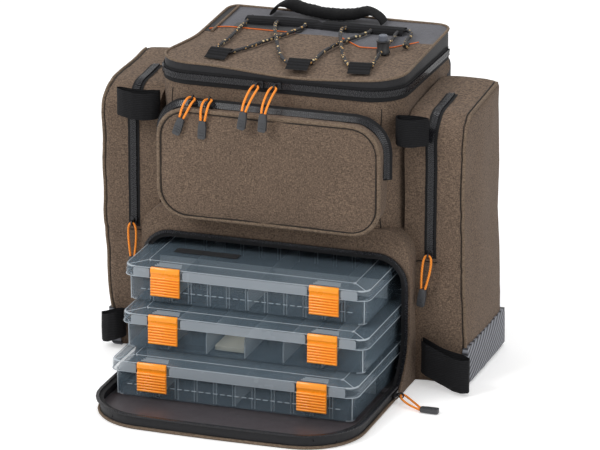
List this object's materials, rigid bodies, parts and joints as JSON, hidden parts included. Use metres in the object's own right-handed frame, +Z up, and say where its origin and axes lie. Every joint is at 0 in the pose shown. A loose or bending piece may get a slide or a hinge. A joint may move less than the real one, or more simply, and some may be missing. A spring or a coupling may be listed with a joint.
{
  "type": "tackle backpack",
  "caption": "Soft fishing backpack whose lower flap lies open on the ground with clear tackle boxes drawn out of it, under a zipped upper compartment and pockets.",
  "frame": {"origin": "centre of the pack's base, on the ground", "axes": "+Z up, the front with the open flap faces -Y, +X is to the right seen from the front"},
  "size_m": [0.4285, 0.451, 0.3639],
  "materials": {
    "heather_fabric": "heathered polyester, coated inside",
    "grey_fabric": "plain dark grey polyester",
    "base_fabric": "coarse black nylon",
    "back_mesh": "padded air mesh",
    "lining": "smooth coated lining",
    "zip_tape": "woven zip tape with a coil chain",
    "webbing": "woven webbing",
    "brown_piping": "corded piping",
    "orange_piping": "corded piping",
    "label_patch": "plain moulded patch",
    "ribbed_guard": "ribbed coated fabric",
    "elastic_cord": "braided elastic with light flecks",
    "black_plastic": "moulded",
    "slider_metal": "black painted zinc",
    "pull_cord": "braided cord",
    "pull_rubber": "moulded rubber",
    "clear_plastic": "clear moulded polypropylene",
    "latch_plastic": "moulded acetal",
    "foam": "pale closed-cell foam"
  },
  "bodies": {
    "root": {"base_panel": "base_fabric", "back_panel": "back_mesh", "side_walls": "lining", "shelf_panel": "lining", "front_panel": "heather_fabric", "compartment_surround": "heather_fabric", "compartment_zip": "zip_tape", "front_pocket": "heather_fabric", "pocket_zips": "zip_tape", "side_pockets": "heather_fabric", "side_guards": "ribbed_guard", "rod_straps": "webbing", "shoulder_straps": "back_mesh", "shoulder_webbing": "webbing", "strap_buckles": "black_plastic", "rim_zip": "zip_tape"},
    "lid": {"lid_panel": "heather_fabric", "lid_zip": "zip_tape", "cord_webbing": "webbing", "bungee_cord": "elastic_cord", "cord_knot": "elastic_cord", "cord_lock_barrel": "black_plastic"},
    "plunger": {"cord_lock_plunger": "black_plastic"},
    "handle": {"carry_handle": "webbing"},
    "flap": {"flap_panel": "lining", "flap_zip": "zip_tape", "slider_flap": "slider_metal"},
    "pull_flap": {"pull_cord_flap": "pull_cord", "pull_tip_flap": "pull_rubber"},
    "box_bottom": {"box_tray_bottom": "clear_plastic", "box_lid_bottom": "clear_plastic"},
    "latch_bottom_left": {"latch_bottom_left": "latch_plastic"},
    "latch_bottom_right": {"latch_bottom_right": "latch_plastic"},
    "box_middle": {"box_tray_middle": "clear_plastic", "box_lid_middle": "clear_plastic", "box_dividers": "clear_plastic"},
    "latch_middle_left": {"latch_middle_left": "latch_plastic"},
    "latch_middle_right": {"latch_middle_right": "latch_plastic"},
    "box_top": {"box_tray_top": "clear_plastic", "box_lid_top": "clear_plastic"},
    "latch_top_left": {"latch_top_left": "latch_plastic"},
    "latch_top_right": {"latch_top_right": "latch_plastic"},
    "slider_lid_left": {"slider_lid_left": "slider_metal"},
    "pull_lid_left": {"pull_cord_lid_left": "pull_cord", "pull_tip_lid_left": "pull_rubber"},
    "slider_lid_right": {"slider_lid_right": "slider_metal"},
    "pull_lid_right": {"pull_cord_lid_right": "pull_cord", "pull_tip_lid_right": "pull_rubber"},
    "slider_pocket_left": {"slider_pocket_left": "slider_metal"},
    "pull_pocket_left": {"pull_cord_pocket_left": "pull_cord", "pull_tip_pocket_left": "pull_rubber"},
    "slider_pocket_right": {"slider_pocket_right": "slider_metal"},
    "pull_pocket_right": {"pull_cord_pocket_right": "pull_cord", "pull_tip_pocket_right": "pull_rubber"},
    "slider_side_left": {"slider_side_left": "slider_metal"},
    "pull_side_left": {"pull_cord_side_left": "pull_cord", "pull_tip_side_left": "pull_rubber"},
    "slider_side_right": {"slider_side_right": "slider_metal"},
    "pull_side_right": {"pull_cord_side_right": "pull_cord", "pull_tip_side_right": "pull_rubber"}
  },
  "joints": [
    {"name": "lid_hinge", "type": "hinge", "parent": "root", "child": "lid", "pos_m": [0, 0.095, 0.322], "axis": [-1, 0, 0], "range_deg": [0, 100]},
    {"name": "handle_swing", "type": "hinge", "parent": "lid", "child": "handle", "pos_m": [0, 0.09, 0.3473], "axis": [-1, 0, 0], "range_deg": [0, 80]},
    {"name": "lock_press", "type": "slide", "parent": "lid", "child": "plunger", "axis": [0, 0, -1], "range_m": [0, 0.003], "stiffness_N_per_m": 300, "springref_m": -0.002},
    {"name": "flap_hinge", "type": "hinge", "parent": "root", "child": "flap", "pos_m": [0, -0.14415, 0], "axis": [1, 0, 0], "range_deg": [0, 90]},
    {"name": "flap_pull_swing", "type": "hinge", "parent": "flap", "child": "pull_flap", "pos_m": [0.1588, -0.1506, 0.009], "axis": [0, -1, 0], "range_deg": [0, 120]},
    {"name": "box_slide_bottom", "type": "slide", "parent": "root", "child": "box_bottom", "axis": [0, -1, 0], "range_m": [-0.139, 0.037]},
    {"name": "latch_bottom_left_hinge", "type": "hinge", "parent": "box_bottom", "child": "latch_bottom_left", "pos_m": [-0.0873, -0.2453, 0.0459], "axis": [-1, 0, 0], "range_deg": [0, 100]},
    {"name": "latch_bottom_right_hinge", "type": "hinge", "parent": "box_bottom", "child": "latch_bottom_right", "pos_m": [0.0907, -0.2453, 0.0459], "axis": [-1, 0, 0], "range_deg": [0, 100]},
    {"name": "box_slide_middle", "type": "slide", "parent": "root", "child": "box_middle", "axis": [0, -1, 0], "range_m": [-0.106, 0.07]},
    {"name": "latch_middle_left_hinge", "type": "hinge", "parent": "box_middle", "child": "latch_middle_left", "pos_m": [-0.0868, -0.2123, 0.0879], "axis": [-1, 0, 0], "range_deg": [0, 100]},
    {"name": "latch_middle_right_hinge", "type": "hinge", "parent": "box_middle", "child": "latch_middle_right", "pos_m": [0.0912, -0.2123, 0.0879], "axis": [-1, 0, 0], "range_deg": [0, 100]},
    {"name": "box_slide_top", "type": "slide", "parent": "root", "child": "box_top", "axis": [0, -1, 0], "range_m": [-0.074, 0.102]},
    {"name": "latch_top_left_hinge", "type": "hinge", "parent": "box_top", "child": "latch_top_left", "pos_m": [-0.0958, -0.1803, 0.1299], "axis": [-1, 0, 0], "range_deg": [0, 100]},
    {"name": "latch_top_right_hinge", "type": "hinge", "parent": "box_top", "child": "latch_top_right", "pos_m": [0.0822, -0.1803, 0.1299], "axis": [-1, 0, 0], "range_deg": [0, 100]},
    {"name": "slider_lid_left_run", "type": "slide", "parent": "lid", "child": "slider_lid_left", "axis": [-1, 0, 0], "range_m": [0, 0.055]},
    {"name": "pull_lid_left_swing", "type": "hinge", "parent": "slider_lid_left", "child": "pull_lid_left", "pos_m": [-0.017, -0.1103, 0.3223], "axis": [-1, 0, 0], "range_deg": [0, 110]},
    {"name": "slider_lid_right_run", "type": "slide", "parent": "lid", "child": "slider_lid_right", "axis": [1, 0, 0], "range_m": [0, 0.055]},
    {"name": "pull_lid_right_swing", "type": "hinge", "parent": "slider_lid_right", "child": "pull_lid_right", "pos_m": [0.003, -0.1103, 0.3223], "axis": [-1, 0, 0], "range_deg": [0, 110]},
    {"name": "slider_pocket_left_run", "type": "slide", "parent": "root", "child": "slider_pocket_left", "axis": [1, 0, 0], "range_m": [0, 0.006]},
    {"name": "pull_pocket_left_swing", "type": "hinge", "parent": "slider_pocket_left", "child": "pull_pocket_left", "pos_m": [-0.087, -0.1145, 0.3033], "axis": [-1, 0, 0], "range_deg": [0, 80]},
    {"name": "slider_pocket_right_run", "type": "slide", "parent": "root", "child": "slider_pocket_right", "axis": [1, 0, 0], "range_m": [0, 0.15]},
    {"name": "pull_pocket_right_swing", "type": "hinge", "parent": "slider_pocket_right", "child": "pull_pocket_right", "pos_m": [-0.068, -0.1145, 0.3033], "axis": [-1, 0, 0], "range_deg": [0, 80]},
    {"name": "slider_side_left_run", "type": "slide", "parent": "root", "child": "slider_side_left", "axis": [0, 0, 1], "range_m": [0, 0.105]},
    {"name": "pull_side_left_swing", "type": "hinge", "parent": "slider_side_left", "child": "pull_side_left", "pos_m": [-0.168, -0.0888, 0.146], "axis": [-1, 0, 0], "range_deg": [0, 130]},
    {"name": "slider_side_right_run", "type": "slide", "parent": "root", "child": "slider_side_right", "axis": [0, 0, 1], "range_m": [0, 0.105]},
    {"name": "pull_side_right_swing", "type": "hinge", "parent": "slider_side_right", "child": "pull_side_right", "pos_m": [0.168, -0.0888, 0.146], "axis": [-1, 0, 0], "range_deg": [0, 130]}
  ]
}
